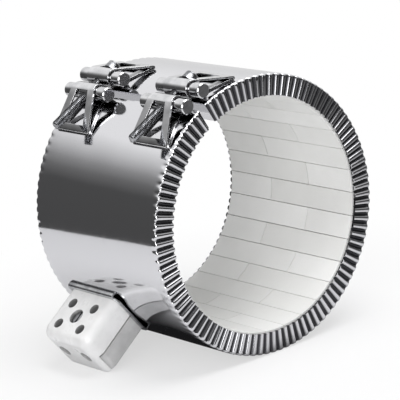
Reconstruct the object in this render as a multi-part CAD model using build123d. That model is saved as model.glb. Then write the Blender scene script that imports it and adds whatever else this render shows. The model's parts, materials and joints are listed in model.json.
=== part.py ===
from build123d import *
import os
from math import asin, atan2, cos, degrees, hypot, radians, sin, sqrt, tan

# Split ring heater for a round barrel. The bore axis is Y, with the origin in the middle of the bore.
# Pieces outside the ring are drawn at the top of it, with Z radial, X along the ring and Y along the
# bore, and are then turned about Y to their place.

# Ring
bore_diameter = 125.0
tile_thickness = 8.5
blanket_thickness = 3.4
sheet_thickness = 0.6
case_width = 105.0
split_gap = 5.0
lining_clearance = 0.15

# Pleated ends of the sheet; shares are of the pitch at the flange's inner edge
pleat_count = 96
pleat_depth = 1.4
pleat_crest_share = 0.3
pleat_foot_share = 0.9
flange_overhang = 0.9

# Tiles
tile_row_count = 30
tile_joint = 0.3
long_tile_ratio = 2.0
tongue_radius = 1.5
tongue_clearance = 0.2
end_space = 3.2
tile_lip = 1.6

# Heating coil
coil_diameter = 3.6
coil_hole_clearance = 0.5
link_diameter = 2.0

# Leads
lead_width = 2.4
lead_thickness = 0.8
lead_pin_diameter = 2.4
lead_pin_overrun = 3.0
lead_track_spacing = 5.0
lead_margin = 0.4
lead_touch = 0.05
bush_wall = 1.3
bush_rim = 1.0
bush_clearance = 0.1

# Clamps
clamp_end_distance = 19.5
barrel_diameter = 8.0
barrel_length = 35.0
barrel_edge = 0.5
strap_thickness = 1.0
strap_width = 18.5
strap_foot_width = 30.0
strap_reach = 21.0
strap_foot_bar = 3.0
strap_fold_gap = 0.4
strap_clearance = 0.15
strap_loop_gap = 2.4
strap_loop_rise = 0.3
weld_clearance = 0.05

# Clamp screws
screw_diameter = 5.0
screw_length = 45.0
screw_head_diameter = 8.5
screw_head_height = 5.0
screw_socket_flats = 4.0
screw_socket_depth = 2.5
screw_tip_chamfer = 0.7
screw_head_chamfer = 0.5
screw_head_clearance = 0.3
screw_hole_clearance = 0.2
screw_thread_clearance = 0.05
screw_window_clearance = 0.5

# Terminal block
block_angle_from_clamp = 99.0
block_centre_y = 17.0
block_width = 40.0
block_height = 30.0
cover_thickness = 14.0
cover_end_wall = 2.4
base_thickness = 12.5
block_joint = 0.3
block_groove_width = 1.1
block_groove_depth = 1.6
block_corner_radius = 6.5
cover_edge_radius = 5.0
back_edge_radius = 1.0
base_inset = 0.8

# Terminals
pole_spacing = 19.0
screw_pitch_radial = 13.5
access_hole_diameter = 6.0
chamber_width = 8.6
chamber_depth_cover = 4.6
chamber_depth_base = 4.6
chamber_floor = 2.0
chamber_end_wall = 4.6
wire_entry_diameter = 7.4
terminal_bar_clearance = 0.3
terminal_bar_end_clearance = 0.8
terminal_wire_hole = 4.2
terminal_screw_diameter = 3.5
terminal_screw_head_diameter = 5.0
terminal_screw_head_height = 2.4
thread_clearance = 0.05
slot_width = 1.0
slot_depth = 1.0

# Cover screw
cover_screw_diameter = 4.0
cover_screw_head_diameter = 8.0
cover_screw_head_height = 2.6
cover_screw_recess = 1.6
cover_screw_clearance = 0.4
cover_nut_flats = 7.0
cover_nut_height = 3.2
cover_nut_recess = 0.6
cover_nut_clearance = 0.1

# Bracket
bracket_thickness = 1.2
bracket_margin = 1.5
bracket_rise = 1.7
bracket_corner_cut = 4.0

# Radii of the ring and lengths inside it
bore_radius = bore_diameter / 2
tile_back_radius = bore_radius + tile_thickness
shell_inner_radius = tile_back_radius + blanket_thickness
shell_radius = shell_inner_radius + sheet_thickness
flange_radius = bore_radius + flange_overhang
flange_y = case_width / 2 - pleat_depth
tile_stack_length = 2 * (flange_y - sheet_thickness - lining_clearance - end_space)
split_half_angle = degrees(asin((split_gap / 2 + sheet_thickness + tile_joint) / bore_radius))
row_pitch = (360.0 - 2 * split_half_angle) / tile_row_count
coil_radius = bore_radius + tile_thickness / 2
link_y = (tile_stack_length + end_space) / 2

# Places on the clamps
clamp_y = case_width / 2 - clamp_end_distance
strap_outer_radius = barrel_diameter / 2 + strap_clearance + strap_thickness
barrel_spacing = 2 * strap_outer_radius + strap_loop_gap
barrel_z = shell_radius + strap_loop_rise + strap_outer_radius
screw_seat_x = (barrel_spacing + barrel_diameter) / 2 + screw_head_clearance

# Places in the terminal block
foot_z = shell_radius + bracket_rise
block_top_z = foot_z + block_height
base_top_z = block_top_z - cover_end_wall - block_joint
block_half_x = (cover_thickness + base_thickness) / 2
parting_x = base_thickness - block_half_x
pattern_z = foot_z + block_height / 2
pole_places = [block_centre_y - pole_spacing / 2, block_centre_y + pole_spacing / 2]
chamber_low = foot_z + chamber_floor
chamber_high = block_top_z - chamber_end_wall
terminal_face_x = parting_x + chamber_depth_cover - terminal_bar_clearance
terminal_screw_places = [pattern_z - screw_pitch_radial / 2, pattern_z + screw_pitch_radial / 2]
cover_screw_seat = block_half_x - cover_screw_recess - cover_screw_head_height
cover_nut_seat = cover_nut_recess + cover_nut_height - block_half_x

# Leads: the far pole's strip runs beside the near pole's, and they come from the two coil ends
lead_radius = tile_back_radius + lead_margin + lead_thickness / 2
lead_tracks = [parting_x - lead_track_spacing, parting_x]
lead_rows = [tile_row_count - 1, 0]
pin_top = terminal_screw_places[0] + lead_pin_overrun
bush_radius = lead_pin_diameter / 2 + bush_clearance + bush_wall
bush_rim_radius = bush_radius + bush_rim
bush_rim_top = sqrt(shell_inner_radius**2 - (bush_rim_radius - parting_x) ** 2) - bush_clearance

# The heater lies on the bottom of the ring and on the block's outer corner, so the block's angle is
# the one at which that rounded corner is level with the bottom of the ring.
corner_x = block_half_x - back_edge_radius
corner_z = block_top_z - back_edge_radius
corner_rise = degrees(asin((shell_radius - back_edge_radius) / hypot(corner_x, corner_z)))
corner_lead = degrees(atan2(corner_x, corner_z))
block_angle = 180.0 + corner_rise - corner_lead
clamp_angle = block_angle - block_angle_from_clamp


def at_ring_angle(shape, angle):
    """Turn a shape drawn at the top of the ring to an angle counted from +X towards +Z."""
    return Rot(0, 90.0 - angle, 0) * shape


def save(name, *shapes):
    """Write one piece, or a group of like pieces, as a named node."""
    solids = [solid for shape in shapes for solid in shape.solids()]
    node = solids[0] if len(solids) == 1 else Compound(children=solids)
    export_step(node, f"parts/{name}.step")


def tube_y(outer, inner, length):
    """Tube along Y, centred on the origin."""
    ring = Plane.XZ * (Circle(outer) - Circle(inner))
    return extrude(ring, amount=length / 2, both=True)


def rod_y(radius, low, high, x=0.0, z=0.0):
    """Round rod along Y from one place to another."""
    return Pos(x, (low + high) / 2, z) * Rot(90, 0, 0) * Cylinder(radius, high - low)


def rod_x(radius, low, high, y=0.0, z=0.0):
    """Round rod along X from one place to another."""
    return Pos((low + high) / 2, y, z) * Rot(0, 90, 0) * Cylinder(radius, high - low)


def rod_z(radius, low, high, x=0.0, y=0.0):
    """Round rod along Z from one height to another."""
    return Pos(x, y, (low + high) / 2) * Cylinder(radius, high - low)


def hexagon_x(flats, low, high, y=0.0, z=0.0):
    """Hexagonal bar along X from one place to another."""
    outline = RegularPolygon(flats / 2, 6, major_radius=False)
    return Pos(low, y, z) * Rot(0, 90, 0) * extrude(outline, amount=high - low)


def box_between(low, high):
    """Box between its lowest and highest corners."""
    size = [b - a for a, b in zip(low, high)]
    middle = [(a + b) / 2 for a, b in zip(low, high)]
    return Pos(*middle) * Box(*size)


def make_shell():
    """One rolled sheet: a wall, ends folded in as flanges, sides of the split folded in as lips."""
    body = tube_y(shell_radius, shell_inner_radius, 2 * flange_y)
    flange = tube_y(shell_radius, flange_radius, sheet_thickness)
    for side in (-1, 1):
        body += Pos(0, side * (flange_y - sheet_thickness / 2), 0) * flange
    half_gap = split_gap / 2
    body -= box_between((-half_gap, -case_width, 0), (half_gap, case_width, 2 * shell_radius))
    lip_edge = half_gap + sheet_thickness
    lip_low = sqrt(flange_radius**2 - half_gap**2)
    lip_high = sqrt((shell_radius - sheet_thickness / 2) ** 2 - lip_edge**2)
    lip_end = flange_y - sheet_thickness / 2
    for low, high in ((-lip_edge, -half_gap), (half_gap, lip_edge)):
        body += box_between((low, -lip_end, lip_low), (high, lip_end, lip_high))
    return body.fuse(*pleats())


def pleats():
    """Crests of the pleated flanges, spread over the ring from one side of the split to the other."""
    half_gap = degrees(asin(split_gap / 2 / flange_radius))
    pitch = (360.0 - 2 * half_gap) / pleat_count
    pitch_width = 2 * flange_radius * tan(radians(pitch / 2))
    foot = pitch_width * pleat_foot_share / 2
    crest = pitch_width * pleat_crest_share / 2
    reach = shell_radius * cos(radians(pitch / 2)) - flange_radius
    root = flange_y - sheet_thickness / 2
    top = flange_y + pleat_depth
    outline = [(-foot, root), (-foot, flange_y), (-crest, top), (crest, top), (foot, flange_y), (foot, root)]
    front = make_face(Polyline(*[(x, -y) for x, y in outline], close=True))
    back = make_face(Polyline(*outline, close=True))
    crests = []
    for section in (front, back):
        bar = extrude(Plane.XY.offset(flange_radius) * section, amount=reach)
        crests += [Rot(0, half_gap + (i + 0.5) * pitch, 0) * bar for i in range(pleat_count)]
    return crests


def tile_section(with_tongue):
    """Section of a tile: a wedge of the ring with a tongue on one side, a groove and a coil hole."""
    back_radius = tile_back_radius - lining_clearance
    half = row_pitch / 2

    def corner(radius, side):
        angle = radians(half) - asin(tile_joint / 2 / radius)
        return (side * radius * sin(angle), radius * cos(angle))

    bore_left, bore_right = corner(bore_radius, -1), corner(bore_radius, 1)
    back_left, back_right = corner(back_radius, -1), corner(back_radius, 1)
    outline = [
        ThreePointArc(bore_left, (0, bore_radius), bore_right),
        Line(bore_right, back_right),
        ThreePointArc(back_right, (0, back_radius), back_left),
        Line(back_left, bore_left),
    ]
    section = make_face(outline)
    tongue = corner(coil_radius, 1)
    turn = radians(row_pitch)
    groove = (
        tongue[0] * cos(turn) - tongue[1] * sin(turn),
        tongue[0] * sin(turn) + tongue[1] * cos(turn),
    )
    if with_tongue:
        section += Pos(*tongue) * Circle(tongue_radius)
    section -= Pos(*groove) * Circle(tongue_radius + tongue_clearance)
    section -= Pos(0, coil_radius) * Circle(coil_diameter / 2 + coil_hole_clearance)
    return Plane.XZ * section


def make_tile_rows():
    """Rows of one long and one short tile, turned end for end from row to row.

    On the bore side the outer tiles reach the flanges with a lip, which hides the coil's links.
    """
    short = (tile_stack_length - tile_joint) / (1 + long_tile_ratio)
    long = short * long_tile_ratio
    end = tile_stack_length / 2
    lip_end = end + end_space
    link_space = tube_y(shell_radius, bore_radius + tile_lip, end_space)
    rows = []
    for i in range(tile_row_count):
        first = long if i % 2 else short
        section = tile_section(with_tongue=i > 0)
        seam = first - end
        spans = [(-lip_end, seam, -link_y), (seam + tile_joint, lip_end, link_y)]
        tiles = []
        for low, high, space_y in spans:
            bar = Pos(0, high, 0) * extrude(section, amount=high - low)
            tiles.append(bar - Pos(0, space_y, 0) * link_space)
        rows.append([at_ring_angle(tile, row_angle(i)) for tile in tiles])
    return rows


def row_angle(i):
    """Ring angle of a tile row, counted from the split."""
    return clamp_angle + split_half_angle + (i + 0.5) * row_pitch


def make_coil():
    """Coil legs through the rows, joined end to end by links behind the tile ends in turn."""
    leg = rod_y(coil_diameter / 2, -link_y, link_y, z=coil_radius)
    legs = [at_ring_angle(leg, row_angle(i)) for i in range(tile_row_count)]
    half_chord = coil_radius * sin(radians(row_pitch / 2))
    link_z = coil_radius * cos(radians(row_pitch / 2))
    links = []
    for i in range(tile_row_count - 1):
        y = link_y if i % 2 else -link_y
        link = rod_x(link_diameter / 2, -half_chord, half_chord, y=y, z=link_z)
        links.append(at_ring_angle(link, row_angle(i + 0.5)))
    return legs[0].fuse(*legs[1:], *links)


def lead_arc(start, end):
    """Flat strip laid round the ring behind the tile ends, between two ring angles."""
    section = Pos(lead_radius, link_y) * Rectangle(lead_thickness, lead_width)
    return Rot(0, -start, 0) * revolve(section, axis=-Axis.Y, revolution_arc=end - start)


def make_lead(row, track_x, pole_y):
    """Strip from a coil end round the ring, along the blanket and up through the shell to a pole."""
    half = lead_width / 2
    low = lead_radius - lead_thickness / 2
    high = lead_radius + lead_thickness / 2
    track_angle = block_angle - degrees(asin(track_x / lead_radius))
    lead = lead_arc(*sorted([row_angle(row), track_angle]))
    tail_low = coil_radius + coil_diameter / 2 + lead_touch
    tail = box_between((-half, link_y - half, tail_low), (half, link_y + half, high))
    lead += at_ring_angle(tail, row_angle(row))
    track = box_between((track_x - half, pole_y - half, low), (track_x + half, link_y + half, high))
    cross_low = min(track_x, parting_x) - half
    cross_high = max(track_x, parting_x) + half
    cross = box_between((cross_low, pole_y - half, low), (cross_high, pole_y + half, high))
    pin = rod_z(lead_pin_diameter / 2, low, pin_top, parting_x, pole_y)
    return lead + at_ring_angle(track + cross + pin, block_angle)


def make_blanket():
    """Fibre lining behind the tiles, with the split, the lead tracks and the bush holes left open."""
    body = tube_y(shell_inner_radius - lining_clearance, tile_back_radius, tile_stack_length)
    half_gap = split_gap / 2 + sheet_thickness + lining_clearance
    body -= box_between((-half_gap, -case_width, 0), (half_gap, case_width, 2 * shell_radius))
    body = at_ring_angle(body, clamp_angle)
    half = lead_width / 2 + lead_margin
    top = lead_radius + lead_thickness / 2 + lead_margin
    for track_x, pole_y in zip(lead_tracks, pole_places):
        low_x = min(track_x, parting_x) - half
        high_x = max(track_x, parting_x) + half
        channel = box_between((track_x - half, pole_y - half, 0), (track_x + half, case_width, top))
        channel += box_between((low_x, pole_y - half, 0), (high_x, pole_y + half, top))
        channel += rod_z(bush_rim_radius + lead_margin, 0, shell_radius, parting_x, pole_y)
        body -= at_ring_angle(channel, block_angle)
    return body


def make_bush(pole_y):
    """Ceramic sleeve that keeps a lead clear of the shell, with a rim under the shell."""
    low = lead_radius + lead_thickness / 2 + bush_clearance
    bush = rod_z(bush_radius, low, foot_z - bush_clearance, parting_x, pole_y)
    bush += rod_z(bush_rim_radius, low, bush_rim_top, parting_x, pole_y)
    return bush - rod_z(lead_pin_diameter / 2 + bush_clearance, 0, foot_z, parting_x, pole_y)


def bush_holes():
    """Holes for the two bushes, through the shell and the bracket."""
    radius = bush_radius + bush_clearance
    holes = [rod_z(radius, tile_back_radius, foot_z, parting_x, y) for y in pole_places]
    return holes[0] + holes[1]


def make_barrel(x, hole_clearance):
    """Round cross bar with a hole for the clamp screw."""
    barrel = rod_y(barrel_diameter / 2, -barrel_length / 2, barrel_length / 2, x, barrel_z)
    barrel = chamfer(barrel.edges().filter_by(GeomType.CIRCLE), barrel_edge)
    hole = rod_x(screw_diameter / 2 + hole_clearance, x - barrel_diameter, x + barrel_diameter, z=barrel_z)
    return barrel - hole


def make_strap():
    """Sheet loop round a barrel, drawn down to a foot, with a window for the screw.

    Its inner layer lies on the shell, from the foot to the underside of the barrel.
    """
    x = barrel_spacing / 2
    foot_radius = strap_thickness + strap_fold_gap / 2
    seat = shell_radius + weld_clearance
    toe_turn = atan2(x, barrel_z) + strap_reach / shell_radius
    toe_x = (shell_radius + foot_radius) * sin(toe_turn)
    toe_z = (shell_radius + foot_radius) * cos(toe_turn)

    def teardrop(inset):
        head = Pos(x, barrel_z) * Circle(strap_outer_radius - inset)
        foot = Pos(toe_x, toe_z) * Circle(foot_radius - inset)
        return make_hull(head.edges() + foot.edges()) - Circle(seat + inset)

    loop = Plane.XZ * (teardrop(0) - teardrop(strap_thickness))
    band = extrude(loop, amount=strap_foot_width / 2, both=True)
    near = x - strap_outer_radius
    far = toe_x + foot_radius
    half = strap_width / 2
    half_foot = strap_foot_width / 2
    right_side = [(near, -half), (x, -half), (far, -half_foot)]
    left_side = [(far, half_foot), (x, half), (near, half)]
    plan = make_face(Polyline(*right_side, *left_side, close=True))
    strap = band & extrude(plan, amount=2 * barrel_z)
    window_half = screw_head_diameter / 2 + screw_window_clearance
    window_start = x + barrel_diameter / 2 - strap_thickness
    window_end = far - strap_foot_bar
    taper = (strap_foot_width - strap_width) / 2 / (far - x)
    window_half_foot = window_half + taper * (window_end - window_start)
    window = Polyline(
        (window_start, -window_half),
        (window_end, -window_half_foot),
        (window_end, window_half_foot),
        (window_start, window_half),
        close=True,
    )
    strap -= extrude(make_face(window), amount=2 * barrel_z)
    return strap - rod_x(screw_diameter / 2 + screw_window_clearance, near - x, x, z=barrel_z)


def make_clamp_screw():
    """Socket head cap screw along X, its head against the upper barrel."""
    tip = screw_seat_x - screw_length
    shank = rod_x(screw_diameter / 2, tip, screw_seat_x, z=barrel_z)
    shank = chamfer(shank.edges().filter_by(GeomType.CIRCLE).sort_by(Axis.X)[0], screw_tip_chamfer)
    top = screw_seat_x + screw_head_height
    head = rod_x(screw_head_diameter / 2, screw_seat_x, top, z=barrel_z)
    head = chamfer(head.edges().filter_by(GeomType.CIRCLE).sort_by(Axis.X)[-1], screw_head_chamfer)
    return shank + head - hexagon_x(screw_socket_flats, top - screw_socket_depth, top, z=barrel_z)


def make_bracket():
    """Plate folded down at both sides onto the shell, one corner cut off."""
    half_x = block_half_x + bracket_margin
    half_y = block_width / 2 + bracket_margin
    front = block_centre_y - half_y
    back = block_centre_y + half_y
    plate = box_between((-half_x, front, shell_inner_radius - half_x), (half_x, back, foot_z))
    corner = plate.edges().filter_by(Axis.Z).sort_by(lambda edge: edge.center().X - edge.center().Y)[-1]
    plate = chamfer(corner, bracket_corner_cut)
    inside = half_x - bracket_thickness
    below = foot_z - bracket_thickness
    plate -= box_between((-inside, front, 0), (inside, back, below))
    plate -= tube_y(shell_radius + weld_clearance, shell_radius / 2, 2 * case_width)
    return plate - bush_holes()


def block_openings():
    """What both halves of the block leave open: pole chambers, wire entries, pin and screw holes."""
    chamber_half = chamber_width / 2
    pin_hole = lead_pin_diameter / 2 + lead_margin
    cuts = []
    for y in pole_places:
        low = (parting_x - chamber_depth_base, y - chamber_half, chamber_low)
        high = (parting_x + chamber_depth_cover, y + chamber_half, chamber_high)
        cuts.append(box_between(low, high))
        cuts.append(rod_z(wire_entry_diameter / 2, chamber_high, 2 * foot_z, parting_x, y))
        cuts.append(rod_z(pin_hole, foot_z - lead_margin, chamber_low, parting_x, y))
        for z in terminal_screw_places:
            cuts.append(rod_x(access_hole_diameter / 2, parting_x, 2 * block_half_x, y, z))
    head_hole = cover_screw_head_diameter / 2 + cover_screw_clearance
    shank_hole = cover_screw_diameter / 2 + cover_screw_clearance
    cuts.append(rod_x(head_hole, cover_screw_seat, 2 * block_half_x, block_centre_y, pattern_z))
    cuts.append(rod_x(shank_hole, -2 * block_half_x, cover_screw_seat, block_centre_y, pattern_z))
    pocket_flats = cover_nut_flats + 2 * cover_nut_clearance
    cuts.append(hexagon_x(pocket_flats, -2 * block_half_x, cover_nut_seat, block_centre_y, pattern_z))
    return cuts


def rounded_block(low_x, high_x, inset=0.0):
    """Length of the block between two X places, its outer corners rounded."""
    half_y = block_width / 2 - inset
    low = (low_x, block_centre_y - half_y, foot_z)
    high = (high_x, block_centre_y + half_y, block_top_z - inset)
    block = box_between(low, high)
    return fillet(block.edges().filter_by(Axis.X).group_by(Axis.Z)[-1], block_corner_radius - inset)


def round_rim(block, face, radius):
    """Round the rim of the first or last face along X, except at the foot."""
    edges = block.faces().sort_by(Axis.X)[face].edges().sort_by(Axis.Z)
    return fillet(edges[1:], radius)


def make_cover():
    """Half with the access holes, well rounded; its end wall reaches down over the end of the base."""
    cover = round_rim(rounded_block(-block_half_x, block_half_x), -1, cover_edge_radius)
    cover = round_rim(cover, 0, back_edge_radius)
    low = (-2 * block_half_x, block_centre_y - block_width, 0.0)
    high = (parting_x + block_joint / 2, block_centre_y + block_width, base_top_z + block_joint)
    cover -= box_between(low, high)
    return cover.cut(*block_openings())


def make_base():
    """Half behind the parting line, a little smaller all round, with a groove along both sides."""
    half_y = block_width / 2 - base_inset
    face_x = parting_x - block_joint / 2
    base = round_rim(rounded_block(-block_half_x, face_x, base_inset), 0, back_edge_radius)
    low = (-2 * block_half_x, block_centre_y - block_width, base_top_z)
    base -= box_between(low, (face_x, block_centre_y + block_width, block_top_z))
    neck_half = half_y - block_groove_depth
    sides = [(-half_y, -neck_half), (neck_half, half_y)]
    for near, far in sides:
        groove_low = (face_x - block_groove_width, block_centre_y + near, foot_z)
        base -= box_between(groove_low, (face_x, block_centre_y + far, base_top_z))
    return base.cut(*block_openings())


def make_terminal_bar(y):
    """Brass bar that joins a lead pin to a supply wire, each under a screw."""
    half = chamber_width / 2 - terminal_bar_clearance
    low_x = parting_x - chamber_depth_base + terminal_bar_clearance
    low = (low_x, y - half, chamber_low + terminal_bar_clearance)
    high = (terminal_face_x, y + half, chamber_high - terminal_bar_end_clearance)
    bar = box_between(low, high)
    bar -= rod_z(terminal_wire_hole / 2, pattern_z, chamber_high, parting_x, y)
    bar -= rod_z(lead_pin_diameter / 2 + thread_clearance, 0, pin_top + thread_clearance, parting_x, y)
    hole = terminal_screw_diameter / 2 + thread_clearance
    for z in terminal_screw_places:
        bar -= rod_x(hole, parting_x, block_half_x, y, z)
    return bar


def slotted_screw(shank_radius, tip, seat, head_radius, top, y, z):
    """Slotted screw along X, drawn from its tip to the top of its head."""
    screw = rod_x(shank_radius, tip, seat, y, z) + rod_x(head_radius, seat, top, y, z)
    half = slot_width / 2
    slot = box_between((top - slot_depth, y - half, z - head_radius), (top, y + half, z + head_radius))
    return screw - slot


def make_terminal_screw(y, z):
    """Short screw in a terminal bar, reached through a hole in the cover."""
    tip = parting_x + max(terminal_wire_hole, lead_pin_diameter) / 2 + thread_clearance
    top = terminal_face_x + terminal_screw_head_height
    return slotted_screw(
        terminal_screw_diameter / 2, tip, terminal_face_x, terminal_screw_head_diameter / 2, top, y, z
    )


def make_cover_screw():
    """Long screw that holds the two halves of the block together."""
    top = cover_screw_seat + cover_screw_head_height
    return slotted_screw(
        cover_screw_diameter / 2,
        cover_nut_seat - cover_nut_height,
        cover_screw_seat,
        cover_screw_head_diameter / 2,
        top,
        block_centre_y,
        pattern_z,
    )


def make_cover_nut():
    """Hexagon nut in its pocket at the back of the base."""
    low = cover_nut_seat - cover_nut_height
    nut = hexagon_x(cover_nut_flats, low, cover_nut_seat, block_centre_y, pattern_z)
    hole = cover_screw_diameter / 2 + thread_clearance
    return nut - rod_x(hole, low, cover_nut_seat, block_centre_y, pattern_z)


os.makedirs("parts", exist_ok=True)

shell = at_ring_angle(make_shell(), clamp_angle)
save("shell", shell - at_ring_angle(bush_holes(), block_angle))
save("insulation_blanket", make_blanket())
for i, row in enumerate(make_tile_rows()):
    save(f"tile_row_{i + 1:02d}", *row)
save("heating_coil", make_coil())

strap = make_strap()
head_barrel = make_barrel(barrel_spacing / 2, screw_hole_clearance)
nut_barrel = make_barrel(-barrel_spacing / 2, screw_thread_clearance)
clamp_screw = make_clamp_screw()
clamp_pieces = {
    "upper_strap": strap,
    "lower_strap": mirror(strap, Plane.YZ),
    "head_barrel": head_barrel,
    "nut_barrel": nut_barrel,
    "clamp_screw": clamp_screw,
}
for place, y in (("front", -clamp_y), ("rear", clamp_y)):
    for name, piece in clamp_pieces.items():
        save(f"{place}_{name}", at_ring_angle(Pos(0, y, 0) * piece, clamp_angle))

save("terminal_bracket", at_ring_angle(make_bracket(), block_angle))
save("terminal_cover", at_ring_angle(make_cover(), block_angle))
save("terminal_base", at_ring_angle(make_base(), block_angle))
save("cover_screw", at_ring_angle(make_cover_screw(), block_angle))
save("cover_nut", at_ring_angle(make_cover_nut(), block_angle))
for i, y in enumerate(pole_places):
    save(f"lead_strip_{i + 1}", make_lead(lead_rows[i], lead_tracks[i], y))
    save(f"lead_bush_{i + 1}", at_ring_angle(make_bush(y), block_angle))
    save(f"terminal_bar_{i + 1}", at_ring_angle(make_terminal_bar(y), block_angle))
    screws = [at_ring_angle(make_terminal_screw(y, z), block_angle) for z in terminal_screw_places]
    save(f"terminal_screws_{i + 1}", *screws)
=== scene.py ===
import json
import math

import bmesh
import bpy
import numpy as np
from mathutils import Matrix, Vector


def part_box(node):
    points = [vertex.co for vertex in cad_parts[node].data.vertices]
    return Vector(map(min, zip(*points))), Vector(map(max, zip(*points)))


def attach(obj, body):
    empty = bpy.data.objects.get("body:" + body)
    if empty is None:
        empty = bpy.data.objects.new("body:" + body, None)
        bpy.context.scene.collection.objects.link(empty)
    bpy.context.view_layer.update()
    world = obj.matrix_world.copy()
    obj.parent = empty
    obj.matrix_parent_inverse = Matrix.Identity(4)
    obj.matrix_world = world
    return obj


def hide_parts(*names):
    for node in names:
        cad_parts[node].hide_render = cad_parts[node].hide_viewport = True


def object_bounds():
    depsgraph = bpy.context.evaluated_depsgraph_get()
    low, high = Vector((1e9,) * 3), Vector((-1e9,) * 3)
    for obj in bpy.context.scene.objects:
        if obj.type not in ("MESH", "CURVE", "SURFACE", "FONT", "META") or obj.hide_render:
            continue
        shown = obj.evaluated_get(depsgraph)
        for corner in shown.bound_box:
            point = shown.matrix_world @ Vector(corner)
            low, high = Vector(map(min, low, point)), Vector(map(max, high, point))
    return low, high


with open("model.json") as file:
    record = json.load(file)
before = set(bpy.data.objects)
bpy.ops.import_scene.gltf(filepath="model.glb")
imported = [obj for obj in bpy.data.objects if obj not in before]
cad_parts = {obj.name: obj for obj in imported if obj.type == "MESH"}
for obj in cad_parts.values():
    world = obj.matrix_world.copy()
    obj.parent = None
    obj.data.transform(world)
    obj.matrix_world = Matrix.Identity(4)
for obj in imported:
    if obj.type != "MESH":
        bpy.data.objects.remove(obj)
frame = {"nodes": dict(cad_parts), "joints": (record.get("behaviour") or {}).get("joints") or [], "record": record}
cadLow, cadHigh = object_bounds()
nodes = frame["nodes"]
mm = 0.001
print("frame loaded:", len(nodes), "nodes")

# ring, clamp and block places, read from the frame, in millimetres and degrees
joints = {joint["name"]: joint for joint in frame["joints"]}
mounts = {mount["name"]: mount for mount in frame["record"]["mounts"]}
screwAxis = joints["front_clamp_screw_turn"]["axis"]
screwPlace = np.array(joints["front_clamp_screw_turn"]["pos_m"]) / mm
entryAxis = mounts["wire_entry_front"]["axis"]
clampAngle = 90 + math.degrees(math.atan2(screwAxis[2], screwAxis[0]))
blockAngle = math.degrees(math.atan2(entryAxis[2], entryAxis[0])) % 360
ringRadius = round(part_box("shell")[1].x / mm, 1)
caseHalf = round(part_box("shell")[1].y / mm, 2)
boreRadius = mounts["barrel_clamp"]["dims"]["r_mm"]
liningLength = mounts["barrel_clamp"]["dims"]["length_mm"]
barrelHeight = math.hypot(screwPlace[0], screwPlace[2])
clampY = abs(screwPlace[1])


def atRing(points, angle):
    # local X runs along the ring, Y along the bore and Z outwards; the top of the ring is turned to the angle
    turn = math.radians(90 - angle)
    x, y, z = np.moveaxis(np.asarray(points, float), -1, 0)
    return np.stack([x * math.cos(turn) + z * math.sin(turn), y, z * math.cos(turn) - x * math.sin(turn)], -1)


def gridFaces(rows, cols, closeRows=False, closeCols=False):
    # one quad between each pair of neighbouring rows and columns, round the end where it is closed
    r = np.arange(rows if closeRows else rows - 1)[:, None]
    c = np.arange(cols if closeCols else cols - 1)[None, :]
    r2, c2 = (r + 1) % rows, (c + 1) % cols
    return np.stack([r * cols + c, r * cols + c2, r2 * cols + c2, r2 * cols + c], -1).reshape(-1, 4)


def thicken(outer, inner, faces):
    # the same faces on two skins, and a wall along each edge that only one face has
    count = len(outer)
    edges = np.concatenate([faces[:, [i, (i + 1) % 4]] for i in range(4)])
    ahead = edges[:, 0] * count + edges[:, 1]
    back = edges[:, 1] * count + edges[:, 0]
    rim = edges[~np.isin(back, ahead)]
    walls = np.stack([rim[:, 1], rim[:, 0], rim[:, 0] + count, rim[:, 1] + count], -1)
    return np.concatenate([outer, inner]), np.concatenate([faces, faces[:, ::-1] + count, walls])


def smoothStep(t):
    t = np.clip(t, 0, 1)
    return t * t * (3 - 2 * t)


def finishPiece(obj, body, replaced, material, bevel=0, sharpAngle=35):
    # smooth shading with sharp edges kept, a small rounded edge, then the body that it rides on
    mesh = obj.data
    mesh.materials.clear()
    mesh.materials.append(material)
    mesh.shade_smooth()
    mesh.set_sharp_from_angle(angle=math.radians(sharpAngle))
    bpy.context.scene.collection.objects.link(obj)
    if bevel:
        rounded = obj.modifiers.new("edge", "BEVEL")
        rounded.width = bevel * mm
        rounded.segments = 2
        rounded.limit_method = "ANGLE"
        rounded.angle_limit = math.radians(sharpAngle)
        rounded.harden_normals = True
    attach(obj, body)
    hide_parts(*replaced)
    return obj


def makePiece(name, parts, attribute=None, mergeAt=2e-7):
    # points and quads of all the parts in one mesh, doubles merged, normals outwards
    points = np.concatenate([np.asarray(p, float).reshape(-1, 3) for p, faces in parts])
    starts = np.cumsum([0] + [len(np.asarray(p).reshape(-1, 3)) for p, faces in parts[:-1]])
    faces = np.concatenate([f + start for (p, f), start in zip(parts, starts)])
    mesh = bpy.data.meshes.new(name)
    mesh.from_pydata(points * mm, [], faces.tolist())
    if attribute:
        layer = mesh.attributes.new(attribute[0], "FLOAT", "POINT")
        layer.data.foreach_set("value", np.asarray(attribute[1], np.float32).ravel())
    work = bmesh.new()
    work.from_mesh(mesh)
    bmesh.ops.remove_doubles(work, verts=work.verts, dist=mergeAt)
    bmesh.ops.dissolve_degenerate(work, edges=work.edges, dist=mergeAt)
    bmesh.ops.recalc_face_normals(work, faces=work.faces)
    work.to_mesh(mesh)
    work.free()
    return bpy.data.objects.new(name, mesh)


def copyOfNode(nodeName, name, flatAngle=0.5):
    # a merged copy of a CAD node, with the triangles of each flat face joined
    mesh = nodes[nodeName].data.copy()
    mesh.name = name
    work = bmesh.new()
    work.from_mesh(mesh)
    bmesh.ops.remove_doubles(work, verts=work.verts, dist=1e-6)
    bmesh.ops.dissolve_limit(
        work, angle_limit=math.radians(flatAngle), verts=work.verts, edges=work.edges)
    work.to_mesh(mesh)
    work.free()
    return bpy.data.objects.new(name, mesh)


# materials

def linear(hexColour):
    # hex to linear light along the sRGB curve: a straight line near black, a power above it
    value = np.array([int(hexColour[i:i + 2], 16) for i in (1, 3, 5)]) / 255
    value = np.where(value <= 0.04045, value / 12.92, ((value + 0.055) / 1.055) ** 2.4)
    return (*value.tolist(), 1.0)


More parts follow.
